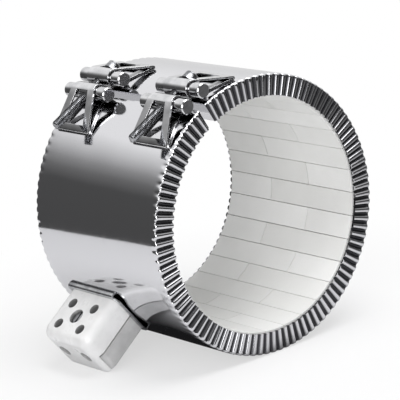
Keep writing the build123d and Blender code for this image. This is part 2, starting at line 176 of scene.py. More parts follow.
def perMm(size):
    # pattern scale on Object coordinates, which are metres, from a feature's size in millimetres
    return 1 / (size * mm)


def addNode(tree, kind, inputs=None, stops=None, **settings):
    node = tree.nodes.new("ShaderNode" + kind)
    for key, value in settings.items():
        setattr(node, key, value)
    for key, value in (inputs or {}).items():
        if isinstance(value, bpy.types.NodeSocket):
            tree.links.new(value, node.inputs[key])
        else:
            node.inputs[key].default_value = value
    for element, (place, colour) in zip(node.color_ramp.elements if stops else (), stops or ()):
        element.position = place
        element.color = colour
    return node


def noise(tree, place, size, detail, **more):
    pattern = {"Vector": place, "Scale": perMm(size), "Detail": detail, **more}
    return addNode(tree, "TexNoise", pattern).outputs["Fac"]


def spread(tree, value, span, ends, **settings):
    # carries a span of values over to two end values
    inputs = {"Value": value, "From Min": span[0], "From Max": span[1], "To Min": ends[0], "To Max": ends[1]}
    return addNode(tree, "MapRange", inputs, **settings).outputs[0]


def tinted(tree, value, span, colours):
    # runs from one colour to the other over a span of values
    stops = [(place, linear(colour)) for place, colour in zip(span, colours)]
    return addNode(tree, "ValToRGB", {"Fac": value}, stops=stops).outputs["Color"]


def blended(tree, share, under, over):
    return addNode(tree, "Mix", {0: share, 6: under, 7: over}, data_type="RGBA").outputs[2]


def combined(tree, first, second, operation):
    return addNode(tree, "Math", {0: first, 1: second}, operation=operation).outputs[0]


def relief(tree, height, strength, depth, **more):
    # bump from a height pattern, with its depth in millimetres
    inputs = {"Height": height, "Strength": strength, "Distance": depth * mm, **more}
    return addNode(tree, "Bump", inputs).outputs[0]


def newMaterial(name, **sockets):
    material = bpy.data.materials.new(name)
    material.use_nodes = True
    tree = material.node_tree
    shader = tree.nodes["Principled BSDF"]
    for key, value in sockets.items():
        shader.inputs[key.replace("_", " ")].default_value = value
    place = addNode(tree, "TexCoord").outputs["Object"]
    return material, tree, shader, place


def dress(tree, shader, **sockets):
    for key, value in sockets.items():
        tree.links.new(value, shader.inputs[key.replace("_", " ")])


def mirrorSheet():
    # stainless sheet, bright rolled and folded: mirror clear, a little wavy, grained round the ring,
    # and dull down in the folds of its pleated ends, where its colour is darkened by painted shade
    look = {"bright": "#dcdcdf", "foldShade": "#434346", "foldShadeSpan": (0.2, 0.62), "dullSpan": (0.3, 0.8),
            "dull": 0.3, "waveSize": 38, "waveHeight": 0.2, "grainSize": 0.5, "grainLength": 30,
            "grainSpan": (0.3, 0.75), "smooth": 0.05, "grained": 0.13}
    material, tree, shader, place = newMaterial("mirrorStainlessSheet", Metallic=1.0)
    foldShade = addNode(tree, "Attribute", attribute_name="foldShade").outputs["Fac"]
    grainScale = (perMm(look["grainLength"]), perMm(look["grainSize"]), perMm(look["grainLength"]))
    lines = addNode(tree, "Mapping", {"Vector": place, "Scale": grainScale}).outputs[0]
    grain = addNode(tree, "TexNoise", {"Vector": lines, "Scale": 1.0, "Detail": 3.0}).outputs["Fac"]
    polish = spread(tree, grain, look["grainSpan"], (look["smooth"], look["grained"]))
    dull = spread(tree, foldShade, look["dullSpan"], (0.0, look["dull"]))
    waves = noise(tree, place, look["waveSize"], 1.0)
    # the fold colour is painted shade in the pleat folds; the dull roughness there is the sheet's own
    dress(tree, shader, Base_Color=tinted(tree, foldShade, look["foldShadeSpan"], (look["bright"], look["foldShade"])),
          Roughness=combined(tree, polish, dull, "ADD"), Normal=relief(tree, waves, 1.0, look["waveHeight"]))
    return material


# the crevice colour and spans below paint shade into the plated metals where neighbours lie close
plating = {"tintSpan": (0.35, 0.6), "polishSpan": (0.35, 0.7), "grainBump": 0.25, "grainDepth": 0.01,
           "creviceShade": "#2a2a2c", "creviceReach": 9.0, "creviceSpan": (0.2, 0.7), "creviceSamples": 12}


def platedMetal(name, bright, deep, smooth, rough, patchSize, grainSize):
    # bright plating over cut and bent steel: clear reflections, clouded in patches, finely grained, and darkened
    # by painted shade where it lies close to its neighbours
    p = plating
    material, tree, shader, place = newMaterial(name, Metallic=1.0)
    patch = noise(tree, place, patchSize, 4.0)
    grain = noise(tree, place, grainSize, 2.0)
    # painted shade: ambient occlusion darkens the colour towards the crevice colour near neighbouring surfaces
    crevice = addNode(tree, "AmbientOcclusion", {"Distance": p["creviceReach"] * mm},
                      samples=p["creviceSamples"])
    creviceShadeShare = spread(tree, crevice.outputs["AO"], p["creviceSpan"], (1.0, 0.0))
    clean = tinted(tree, patch, p["tintSpan"], (deep, bright))
    dress(tree, shader, Base_Color=blended(tree, creviceShadeShare, clean, linear(p["creviceShade"])),
          Roughness=spread(tree, patch, p["polishSpan"], (rough, smooth)),
          Normal=relief(tree, grain, p["grainBump"], p["grainDepth"]))
    return material


def tileCeramic():
    # pressed steatite, unglazed: chalk white with a waxy sheen, each tile a little warmer or greyer
    look = {"pale": "#f2f2f1", "warm": "#e4e4e2", "toneSpan": (0.15, 0.85), "cloudSize": 14,
            "cloudShare": 0.4, "speck": "#d6d6d4", "speckSize": 1.1, "speckSpan": (0.04, 0.16),
            "speckShare": 0.5, "grainSize": 0.35, "grainSpan": (0.3, 0.7), "smooth": 0.45, "rough": 0.62,
            "poreBump": 0.35, "poreDepth": 0.03}
    material, tree, shader, place = newMaterial("steatiteTile", Specular_IOR_Level=0.4)
    tone = addNode(tree, "Attribute", attribute_name="tone").outputs["Fac"]
    cloud = noise(tree, place, look["cloudSize"], 3.0)
    grain = noise(tree, place, look["grainSize"], 3.0)
    specks = addNode(tree, "TexVoronoi", {"Vector": place, "Scale": perMm(look["speckSize"])})
    mixed = addNode(tree, "Mix", {0: look["cloudShare"], 2: tone, 3: cloud}, data_type="FLOAT").outputs[0]
    body = tinted(tree, mixed, look["toneSpan"], (look["pale"], look["warm"]))
    spot = spread(tree, specks.outputs["Distance"], look["speckSpan"], (look["speckShare"], 0.0))
    dress(tree, shader, Base_Color=blended(tree, spot, body, linear(look["speck"])),
          Roughness=spread(tree, grain, look["grainSpan"], (look["smooth"], look["rough"])),
          Normal=relief(tree, grain, look["poreBump"], look["poreDepth"]))
    return material


glaze = {"cloudSize": 9, "tintSpan": (0.35, 0.62), "polishSpan": (0.3, 0.7), "coatRough": 0.08,
         "hollowReach": 11.0, "hollowSpan": (0.3, 0.9), "hollowSamples": 12,
         "pinSize": 2.6, "pinSpan": (0.0, 0.08), "pinBump": 0.2, "pinDepth": 0.05,
         "peelSize": 3.2, "peelBump": 0.3, "peelDepth": 0.12}


def glazedPorcelain(name, white, shade, hollowShade, smooth, rough, coat):
    # pressed porcelain under a thin glaze: soft white, faintly uneven, with small pinholes, and darkened
    # by painted shade inside its holes and hollows
    g = glaze
    material, tree, shader, place = newMaterial(name, Coat_Weight=coat, Coat_Roughness=g["coatRough"])
    cloud = noise(tree, place, g["cloudSize"], 4.0)
    peel = noise(tree, place, g["peelSize"], 1.0)
    pins = addNode(tree, "TexVoronoi", {"Vector": place, "Scale": perMm(g["pinSize"])})
    # painted shade: ambient occlusion within this reach darkens the colour inside holes, slots and the parting
    # groove
    hollow = addNode(tree, "AmbientOcclusion", {"Distance": g["hollowReach"] * mm},
                     samples=g["hollowSamples"], only_local=True)
    hollowShadeShare = spread(tree, hollow.outputs["AO"], g["hollowSpan"], (1.0, 0.0))
    pinhole = spread(tree, pins.outputs["Distance"], g["pinSpan"], (0.0, 1.0))
    dents = relief(tree, pinhole, g["pinBump"], g["pinDepth"])
    dress(tree, shader,
          Base_Color=blended(tree, hollowShadeShare, tinted(tree, cloud, g["tintSpan"], (shade, white)), linear(hollowShade)),
          Roughness=spread(tree, cloud, g["polishSpan"], (rough, smooth)),
          Normal=relief(tree, peel, g["peelBump"], g["peelDepth"], Normal=dents))
    return material


def fibreFelt():
    # mineral fibre felt: matt, off-white, matted threads
    look = {"shade": "#b9b4a8", "pale": "#e6e3da", "span": (0.3, 0.65), "threadSize": 1.6, "bump": 0.8,
            "depth": 0.3}
    material, tree, shader, place = newMaterial("mineralFibreFelt", Roughness=0.95)
    threads = noise(tree, place, look["threadSize"], 8.0, Distortion=2.0)
    dress(tree, shader, Base_Color=tinted(tree, threads, look["span"], (look["shade"], look["pale"])),
          Normal=relief(tree, threads, look["bump"], look["depth"]))
    return material


sheetSteel = mirrorSheet()
strapSteel = platedMetal("brightPlatedSteel", "#e2e2e4", "#c9cacc", 0.05, 0.12, 7, 0.5)
barrelSteel = platedMetal("turnedPlatedSteel", "#dcdcde", "#bfc0c2", 0.06, 0.14, 5, 0.4)
screwSteel = platedMetal("machinedScrewSteel", "#a6a7aa", "#77787b", 0.14, 0.28, 4, 0.35)
bracketSteel = platedMetal("foldedBracketSteel", "#c6c7c9", "#a0a1a4", 0.14, 0.26, 9, 0.5)
tileWhite = tileCeramic()
# the last of the three colours given to each porcelain is its painted shade inside holes and hollows
coverGlaze = glazedPorcelain("glazedPorcelainCover", "#f2f2f2", "#e9e9e9", "#767676", 0.25, 0.36, 0.35)
baseGlaze = glazedPorcelain("glazedPorcelainBase", "#cdcdcd", "#bcbcbc", "#4a4a4a", 0.35, 0.5, 0.15)
heatingAlloy = platedMetal("oxidisedHeatingWire", "#6e6862", "#4a4541", 0.4, 0.6, 3, 0.3)
nickelStrip = platedMetal("plainNickelStrip", "#b9b2a4", "#978f82", 0.25, 0.4, 5, 0.4)
brassBar = platedMetal("machinedBrass", "#d0ac62", "#a8853f", 0.2, 0.36, 4, 0.4)
feltWhite = fibreFelt()
print("materials made")


# shell

shell = {"sheet": 0.6, "splitGap": 5.0, "flangeRadius": 63.4, "pleats": 96, "pleatDepth": 1.4,
         "crestShare": 0.3, "footShare": 0.9, "roll": 1.7, "rollShare": 0.2, "fade": 4.0,
         "crestBright": 0.75, "flangeSteps": 7, "rollSteps": 7, "wallStops": [0.25, 0.5, 0.75, 1.0, 2.5],
         "flankStops": [0.0, 0.3, 0.7, 1.0], "lipStart": 0.2, "lipSink": 0.36}


def makeShell():
    # section: flange, rolled corner, wall, rolled corner, flange; it is carried round the ring from one side
    # of the split to the other, and pressed in along its normal by depth times one minus the pleat wave
    s = shell
    flange = np.linspace(s["flangeRadius"], ringRadius - s["roll"], s["flangeSteps"])
    bend = np.radians(np.linspace(0, 90, s["rollSteps"] + 1))[1:]
    wall = np.array(s["wallStops"]) * s["fade"]
    flat, straight = np.ones(len(flange)), np.ones(len(wall))
    radius = np.concatenate([flange, ringRadius - s["roll"] * (1 - np.sin(bend)), ringRadius * straight])
    y = np.concatenate([-caseHalf * flat, s["roll"] * (1 - np.cos(bend)) - caseHalf,
                        s["roll"] - caseHalf + wall])
    normalR = np.concatenate([0 * flat, np.sin(bend), straight])
    normalY = np.concatenate([-flat, -np.cos(bend), 0 * straight])
    press = np.concatenate([flat, 1 - (1 - s["rollShare"]) * np.sin(bend) ** 2,
                            s["rollShare"] * np.clip(1 - wall / s["fade"], 0, 1) ** 2])
    radius, normalR, press = (np.concatenate([v, v[::-1]]) for v in (radius, normalR, press))
    y, normalY = (np.concatenate([v, -v[::-1]]) for v in (y, normalY))

    halfGap = math.degrees(math.asin(s["splitGap"] / 2 / s["flangeRadius"]))
    pitch = (360 - 2 * halfGap) / s["pleats"]
    foot, crest = s["footShare"] / 2, s["crestShare"] / 2
    half = np.append(0, 0.5 - foot + (foot - crest) * np.array(s["flankStops"]))
    phase = np.concatenate([half, [0.5], 1 - half[:0:-1]])
    count = np.arange(s["pleats"])[:, None] + phase
    turn = halfGap + np.append(count.ravel(), s["pleats"]) * pitch
    wave = smoothStep((foot - np.abs(np.append(np.tile(phase, s["pleats"]), 0) - 0.5)) / (foot - crest))
    ends = np.degrees(np.arcsin(s["splitGap"] / 2 / radius))[:, None]
    turn = np.concatenate([ends, np.tile(turn, (len(radius), 1)), 360 - ends], 1)
    wave = np.concatenate([[0], wave, [0]])[None, :]

    depth = s["pleatDepth"] * press[:, None] * (1 - wave)
    angle = np.radians(clampAngle + turn)
    skins = []
    for inset in (0, s["sheet"]):
        r = radius[:, None] - normalR[:, None] * (depth + inset)
        across = y[:, None] - normalY[:, None] * (depth + inset)
        skins.append(np.stack([r * np.cos(angle), across, r * np.sin(angle)], -1).reshape(-1, 3))
    parts = [thicken(*skins, gridFaces(*turn.shape))]
    # painted shade mask: one down in the pleat folds, lifted on the crests, fading along the rolled corner; none
    # on the inner skin and lips
    foldShade = (press[:, None] * (1 - s["crestBright"] * wave)).ravel()
    foldShade = np.concatenate([foldShade, np.zeros_like(foldShade)])

    # lips: flat sheets folded in along both sides of the split
    gap, thick = s["splitGap"] / 2, s["sheet"]
    low, high = s["flangeRadius"] + s["lipStart"], ringRadius - s["lipSink"]
    end = caseHalf - s["pleatDepth"] - thick
    for side in (-1, 1):
        corner = np.array([[0, -end, low], [0, end, low], [0, -end, high], [0, end, high]])
        faces = gridFaces(2, 2)
        points, faces = thicken(corner + [side * gap, 0, 0], corner + [side * (gap + thick), 0, 0], faces)
        parts.append((atRing(points, clampAngle), faces))
        foldShade = np.concatenate([foldShade, np.zeros(len(points))])
    obj = makePiece("shellSheet", parts, ("foldShade", foldShade))
    return finishPiece(obj, "heater", ["shell"], sheetSteel, sharpAngle=50)


makeShell()
print("shell made")


# tile rows

tile = {"rows": 30, "joint": 0.3, "thickness": 8.5, "backClearance": 0.15, "longRatio": 2.0, "sheet": 0.6,
        "tongue": 1.5, "tongueClearance": 0.2, "hole": 2.3, "endSpace": 3.2, "lip": 1.6, "edge": 0.25,
        "arcSteps": 9, "seed": 7}


def tileOutline(rowPitch, withTongue):
    # bore arc, side with a round tongue, back arc and side with a round groove; then the coil hole, with one
    # point in line with each point of the outline
    t = tile
    middle = boreRadius + t["thickness"] / 2
    back = boreRadius + t["thickness"] - t["backClearance"]
    half = math.radians(rowPitch / 2)

    def arc(radius, start, end):
        reach = half - math.asin(t["joint"] / 2 / radius)
        turn = np.linspace(start, end, t["arcSteps"]) * reach
        return np.stack([radius * np.sin(turn), radius * np.cos(turn)], -1)

    lip = arc(boreRadius + t["lip"], -1, 1)

    def sideCurve(side, radius, push, swell):
        # half circle on a side face: it swells out for the tongue and in for the groove
        trim = math.asin(push / radius)
        turn = np.linspace(-math.pi / 2 + trim, math.pi / 2 - trim, t["arcSteps"])
        out = swell * (radius * np.cos(turn) - push)
        along = radius * np.sin(turn)
        lean = side * half
        x = along * math.sin(lean) + side * out * math.cos(lean)
        z = along * math.cos(lean) - side * out * math.sin(lean)
        foot = np.array([middle * math.sin(lean), middle * math.cos(lean)])
        foot -= side * t["joint"] / 2 * np.array([math.cos(lean), -math.sin(lean)])
        return np.stack([x, z], -1) + foot

    bore, rear = arc(boreRadius, -1, 1), arc(back, 1, -1)
    tongue = sideCurve(1, t["tongue"], 0.0, 1) if withTongue else np.zeros((0, 2))
    groove = sideCurve(-1, t["tongue"] + t["tongueClearance"], t["joint"], -1)[::-1]
    outline = np.concatenate([lip[:1], bore, lip[-1:], tongue, rear, groove])
    lipBack = np.concatenate([lip[:1], lip, lip[-1:]])
    centre = np.array([0, middle])
    away = outline - centre
    hole = centre + away / np.linalg.norm(away, axis=1)[:, None] * t["hole"]
    return outline, hole, lipBack


def tileGrid(outline, hole, lipBack, seam, end, lipEnd):
    # one closed grid: round the outside to the end, out and back along the lip on the bore side, over the
    # end, through the hole and over the seam; the lip's three strips are left out away from the bore side
    onLip = len(lipBack)
    lipRim = np.concatenate([lipBack, outline[onLip:]])
    lipY = np.where(np.arange(len(outline)) < onLip, lipEnd, end)
    rings = [(outline, seam), (outline, end), (outline, lipY), (lipRim, lipY), (lipRim, end),
             (hole, end), (hole, seam)]
    points = np.stack([np.stack([ring[:, 0], np.broadcast_to(y, len(ring)), ring[:, 1]], -1)
                       for ring, y in rings])
    faces = gridFaces(len(rings), len(outline), True, True).reshape(len(rings), len(outline), 4)
    keep = np.ones(faces.shape[:2], bool)
    keep[1:4, onLip - 1:] = False
    return points.reshape(-1, 3), faces[keep]


def makeTileRows():
    # a long and a half tile in each row, turned end for end from row to row, each with its own tone
    t = tile
    splitHalf = math.degrees(math.asin((shell["splitGap"] / 2 + t["sheet"] + t["joint"]) / boreRadius))
    rowPitch = (360 - 2 * splitHalf) / t["rows"]
    lipEnd = liningLength / 2
    end = lipEnd - t["endSpace"]
    short = (2 * end - t["joint"]) / (1 + t["longRatio"])
    tones = np.random.default_rng(t["seed"]).uniform(0, 1, (t["rows"], 2))
    for row in range(t["rows"]):
        shapes = tileOutline(rowPitch, row > 0)
        seam = short * (t["longRatio"] if row % 2 else 1) - end
        parts, tone = [], []
        for place, (start, side) in enumerate(((seam, -1), (seam + t["joint"], 1))):
            points, faces = tileGrid(*shapes, start, side * end, side * lipEnd)
            parts.append((atRing(points, clampAngle + splitHalf + (row + 0.5) * rowPitch), faces))
            tone.append(np.full(len(points), tones[row, place]))
        obj = makePiece(f"tileRow{row + 1:02d}", parts, ("tone", np.concatenate(tone)))
        finishPiece(obj, "heater", [f"tile_row_{row + 1:02d}"], tileWhite, t["edge"])


makeTileRows()
print("tile rows made")


# clamps: straps, barrels and screws

clamp = {"spacing": 12.7, "barrel": 8.0, "barrelLength": 35.0, "barrelEdge": 0.5,
         "headHole": 5.4, "nutHole": 5.1,
         "strapSheet": 1.0, "strapClearance": 0.15, "strapWidth": 18.5, "footWidth": 30.0, "foldGap": 0.4,
         "reach": 21.0, "footBar": 3.0, "window": 9.5, "screwWay": 6.0, "weld": 0.05, "strapEdge": 0.2,
         "headSteps": 10, "waySteps": 9, "windowSteps": 6, "footSteps": 7,
         "holeSteps": 13, "sideSteps": 11, "holeRim": 1.0, "tubeStep": 15}


def makeStrap(name, y, side):
    # a loop round the barrel and a small foot circle, its inner layer on the shell, carried across a width
    # that grows towards the foot; the middle band is left out along the window and round the screw's way
    c = clamp
    headX, headRadius = c["spacing"] / 2, c["barrel"] / 2 + c["strapClearance"] + c["strapSheet"]
    footRadius = c["strapSheet"] + c["foldGap"] / 2
    seat = ringRadius + c["weld"]
    toeTurn = math.atan2(headX, barrelHeight) + c["reach"] / ringRadius
    toeX = (ringRadius + footRadius) * math.sin(toeTurn)
    toeZ = (ringRadius + footRadius) * math.cos(toeTurn)
    heading = math.atan2(toeZ - barrelHeight, toeX - headX)
    tangent = math.acos((headRadius - footRadius) / math.hypot(toeX - headX, toeZ - barrelHeight))
    upper, lower = heading + tangent, heading - tangent
    far = toeX + footRadius
    windowEnd = far - c["footBar"]
    windowStart = headX + c["barrel"] / 2 - c["strapSheet"]

    def onHead(angle):
        return headX + headRadius * np.cos(angle), barrelHeight + headRadius * np.sin(angle)

    def onFoot(angle):
        return toeX + footRadius * np.cos(angle), toeZ + footRadius * np.sin(angle)

    # the head's arc, with steps that end at the rim of the screw's way
    way = math.asin(c["screwWay"] / 2 / headRadius)
    headArc = np.concatenate([np.linspace(upper, math.pi - way, c["headSteps"])[:-1],
                              np.linspace(math.pi - way, math.pi + way, c["waySteps"]),
                              np.linspace(math.pi + way, 2 * math.pi + lower, c["headSteps"])[1:]])
    x, z = onHead(headArc)
    normal = [headArc]
    path = [(x, z)]
    inside = np.abs(headArc - math.pi)
    rimHalf = np.sqrt(np.clip((c["screwWay"] / 2) ** 2 - (z - barrelHeight) ** 2, 0, None))
    blendOut = np.clip((inside - way) / (np.max(inside) - way), 0, 1)
    slack = 1e-6
    bandHalf = [np.where(inside <= way + slack, rimHalf, blendOut * c["window"] / 2)]
    opened = [inside < way - slack]

    taper = (c["footWidth"] - c["strapWidth"]) / 2 / (far - headX)

    def lineTo(start, end, stops, angle):
        # straight run with a step at each stop along X, lifted to the shell where it would cut in
        share = (np.array(stops) - start[0]) / (end[0] - start[0])
        xs = start[0] + share * (end[0] - start[0])
        zs = start[1] + share * (end[1] - start[1])
        shellZ = np.sqrt(seat ** 2 - xs ** 2)
        path.append((xs, np.maximum(zs, shellZ)))
        normal.append(np.where(zs < shellZ, np.arctan2(-shellZ, -xs), angle))
        bandHalf.append(c["window"] / 2 + taper * np.clip(xs - windowStart, 0, windowEnd - windowStart))

    windowSteps = c["windowSteps"]
    stops = np.linspace(windowStart, windowEnd, windowSteps)
    lineTo(onHead(lower), onFoot(lower), stops, 2 * math.pi + lower)
    opened.append(np.arange(windowSteps) < windowSteps - 1)
    footArc = np.linspace(math.atan2(-toeZ, -toeX), upper, c["footSteps"])
    path.append(onFoot(footArc))
    normal.append(footArc)
    bandHalf.append(np.full(len(footArc), c["window"] / 2 + taper * (windowEnd - windowStart)))
    opened.append(np.zeros(len(footArc), bool))
    lineTo(onFoot(upper), onHead(upper), np.linspace(windowEnd, onHead(upper)[0], windowSteps)[:-1], upper)
    opened.append(np.ones(windowSteps - 1, bool))

    x, z = (np.concatenate([p[i] for p in path]) for i in (0, 1))
    angle, band, opening = (np.concatenate(v) for v in (normal, bandHalf, opened))
    edge = c["strapWidth"] / 2 + taper * np.clip(x - headX, 0, None)
    lines = np.stack([-edge, -band, band, edge], 1)
    # a step is open where the band is left out up to the next step
    steps = len(x)
    faces = gridFaces(steps, 4, True, False).reshape(steps, 3, 4)
    wayStart = np.flatnonzero(np.isclose(inside, way))[0]
    openSteps = opening.copy()
    openSteps[wayStart] = True
    keep = np.ones((steps, 3), bool)
    keep[:, 1] = ~openSteps
    skins = []
    for inset in (0, c["strapSheet"]):
        px, pz = x - inset * np.cos(angle), z - inset * np.sin(angle)
        grid = np.stack([np.broadcast_to(side * px[:, None], lines.shape), lines + y,
                         np.broadcast_to(pz[:, None], lines.shape)], -1)
        skins.append(atRing(grid.reshape(-1, 3), clampAngle))
    obj = makePiece(name, [thicken(*skins, faces[keep])])
    return obj, c["strapEdge"]


def makeBarrel(name, x, y, hole):
    # a turned bar along Y with chamfered ends; the grid's two middle lines open round the screw hole,
    # and a tube joins the two openings
    c = clamp
    radius, holeRadius, end = c["barrel"] / 2, hole / 2, c["barrelLength"] / 2
    t = np.radians(np.linspace(-90, 90, c["holeSteps"]))
    nearHole = np.arcsin(holeRadius * np.sin(t) / radius)
    top = np.linspace(nearHole[-1], math.pi - nearHole[-1], c["sideSteps"])[1:-1]
    turn = np.concatenate([nearHole, top, math.pi + nearHole, math.pi + top])
    openHalf = np.concatenate([holeRadius * np.cos(t), np.zeros(len(top))] * 2)
    edge = c["barrelEdge"]
    rings = [(0, -end), (radius - edge, -end), (radius, edge - end), (radius, -holeRadius - c["holeRim"])]
    ringRadii = np.array([r for r, place in rings] + [radius, radius] + [r for r, place in rings[::-1]])
    places = np.concatenate([np.tile([p for r, p in rings], (len(turn), 1)), -openHalf[:, None],
                             openHalf[:, None], np.tile([-p for r, p in rings[::-1]], (len(turn), 1))], 1)
    points = np.stack([x + ringRadii * np.cos(turn)[:, None], y + places,
                       barrelHeight + ringRadii * np.sin(turn)[:, None]], -1)
    columns = len(ringRadii)
    faces = gridFaces(len(turn), columns, True, False).reshape(len(turn), columns - 1, 4)
    around = np.radians(np.arange(0, 360, c["tubeStep"]))
    wall = np.sqrt(radius ** 2 - (holeRadius * np.sin(around)) ** 2)
    tube = np.stack([np.stack([x + side * wall, y + holeRadius * np.cos(around),
                               barrelHeight + holeRadius * np.sin(around)], -1) for side in (1, -1)])
    parts = [(atRing(points.reshape(-1, 3), clampAngle), np.delete(faces, len(rings), 1).reshape(-1, 4)),
             (atRing(tube.reshape(-1, 3), clampAngle), gridFaces(2, len(around), False, True))]
    return makePiece(name, parts, mergeAt=1e-6)


screw = {"radius": 2.5, "length": 45.0, "pitch": 0.9, "threadDepth": 0.5, "tip": 0.7, "plain": 6.0,
         "headRadius": 4.25, "headHeight": 5.0, "headEdge": 0.5, "headClearance": 0.3,
         "socket": 4.0, "socketDepth": 2.5, "socketEdge": 0.25, "socketPoint": 0.6,
         "knurls": 40, "knurlDepth": 0.14, "seatEdge": 0.25, "knurlFrom": 0.9, "knurlTo": 0.3,
         "knurlSlope": 0.2, "stepsPerMm": 8, "shankTurn": 10, "headTurn": 3, "overlap": 0.2,
         "grooveShare": 1.25}


def makeScrew(name, y):
    # shank: radius falls by a triangle wave of length over pitch less the turn, which winds the thread;
    # head: rings from the seat over the knurled side, the rounded rim and down into the hexagon socket
    s = screw
    seat = (clamp["spacing"] + clamp["barrel"]) / 2 + s["headClearance"]
    tip, top = seat - s["length"], seat + s["headHeight"]
    turn = np.radians(np.arange(0, 360, s["shankTurn"]))
    threadSteps = int((s["length"] - s["plain"]) * s["stepsPerMm"])
    x = np.concatenate([[tip], np.linspace(tip, seat - s["plain"], threadSteps),
                        [seat - s["plain"] / 2, seat + s["overlap"], seat + s["overlap"]]])
    groove = 1 - np.abs(2 * ((x[:, None] / s["pitch"] - turn / (2 * math.pi)) % 1) - 1)
    groove = smoothStep(groove * s["grooveShare"])
    fade = np.clip((seat - s["plain"] - x) / s["pitch"], 0, 1)[:, None]
    radius = s["radius"] - s["threadDepth"] * groove * fade
    radius = np.minimum(radius, s["radius"] - s["tip"] + x[:, None] - tip)
    radius[0], radius[-1] = 0, 0
    shank = np.stack([np.broadcast_to(x[:, None], radius.shape), y + radius * np.cos(turn),
                      barrelHeight + radius * np.sin(turn)], -1)

    around = np.radians(np.arange(0, 360, s["headTurn"]))
    ridge = 0.5 + 0.5 * np.cos(s["knurls"] * around)
    flat = (np.degrees(around) + 30) % 60 - 30
    hexagon = s["socket"] / 2 / np.cos(np.radians(flat))
    full, edge, slope = s["headRadius"], s["headEdge"], s["knurlSlope"]
    side = full - s["knurlDepth"] * ridge
    knurlLow, knurlHigh, floor = seat + s["knurlFrom"], top - edge - s["knurlTo"], top - s["socketDepth"]
    rings = [(seat, 0), (seat, full - s["seatEdge"]), (seat + s["seatEdge"], full), (knurlLow, full),
             (knurlLow + slope, side), (knurlHigh - slope, side), (knurlHigh, full), (top - edge, full),
             (top - edge / 2, full - edge / 2), (top, full - edge), (top, hexagon + s["socketEdge"]),
             (top - s["socketEdge"], hexagon), (floor, hexagon), (floor - s["socketPoint"], 0)]
    head = np.stack([np.stack(np.broadcast_arrays(place, y + r * np.cos(around),
                                                  barrelHeight + r * np.sin(around)), -1)
                     for place, r in rings])
    parts = [(atRing(grid.reshape(-1, 3), clampAngle), gridFaces(*grid.shape[:2], False, True))
             for grid in (shank, head)]
    return makePiece(name, parts)


for place, y in (("front", -clampY), ("rear", clampY)):
    for level, side in (("upper", 1), ("lower", -1)):
        strap, edge = makeStrap(f"{place}{level.title()}Strap", y, side)
        finishPiece(strap, "heater", [f"{place}_{level}_strap"], strapSteel, edge)
    for kind, side, hole in (("head", 1, clamp["headHole"]), ("nut", -1, clamp["nutHole"])):
        barrel = makeBarrel(f"{place}{kind.title()}Barrel", side * clamp["spacing"] / 2, y, hole)
        finishPiece(barrel, "heater", [f"{place}_{kind}_barrel"], barrelSteel, sharpAngle=30)
    finishPiece(makeScrew(f"{place}ClampScrew", y), f"{place}_clamp_screw", [f"{place}_clamp_screw"],
                screwSteel, sharpAngle=40)
print("clamps made")


# terminal block and its bracket

bracket = {"sheet": 1.2, "halfX": 14.75, "top": 76.7, "front": -4.5, "back": 38.5, "cut": 4.0, "bend": 1.8,
           "weld": 0.05, "edge": 0.2}


def makeBracket():
    # leg, bend, top, bend, leg, carried along Y; the front line steps back where the corner is cut off
    b = bracket
    foot = math.sqrt((ringRadius + b["weld"]) ** 2 - b["halfX"] ** 2)
    bend = np.radians(np.linspace(0, 90, 7))
    inner = b["halfX"] - b["bend"]
    top = np.array([inner - b["cut"] + b["bend"], 0])
    x = np.concatenate([[b["halfX"]], inner + b["bend"] * np.cos(bend), top])
    z = np.concatenate([[foot], b["top"] - b["bend"] + b["bend"] * np.sin(bend), [b["top"]] * 2])
    normal = np.concatenate([[0], bend, [math.pi / 2] * 2])
    x = np.concatenate([x, -x[-2::-1]])
    z, normal = np.concatenate([z, z[-2::-1]]), np.concatenate([normal, math.pi - normal[-2::-1]])
    front = b["front"] + np.clip(x - (b["halfX"] - b["cut"]), 0, b["cut"])
    skins = []
    for inset in (0, b["sheet"]):
        px, pz = x - inset * np.cos(normal), z - inset * np.sin(normal)
        grid = np.stack([np.stack([px, y, pz], -1) for y in (front, np.full(len(x), b["back"]))], 1)
        skins.append(atRing(grid.reshape(-1, 3), blockAngle))
    obj = makePiece("terminalBracket", [thicken(*skins, gridFaces(len(x), 2))])
    finishPiece(obj, "heater", ["terminal_bracket"], bracketSteel, b["edge"])


makeBracket()
block = {"terminal_cover": ("terminalCover", "block_ceramic", coverGlaze, 0.35),
         "terminal_base": ("terminalBase", "block_ceramic", baseGlaze, 0.3),
         "cover_screw": ("coverScrew", "screw_steel", screwSteel, 0.2)}
for node, (name, slotName, material, edge) in block.items():
    finishPiece(copyOfNode(node, name), "heater", [node], material, edge)

inner = {"insulation_blanket": feltWhite, "heating_coil": heatingAlloy, "cover_nut": screwSteel}
for pole in (1, 2):
    inner[f"lead_strip_{pole}"] = nickelStrip
    inner[f"lead_bush_{pole}"] = tileWhite
    inner[f"terminal_bar_{pole}"] = brassBar
    inner[f"terminal_screws_{pole}"] = screwSteel
for name, material in inner.items():
    nodes[name].data.materials.clear()
    nodes[name].data.materials.append(material)
print("block and inner pieces made")


# floor, light and camera

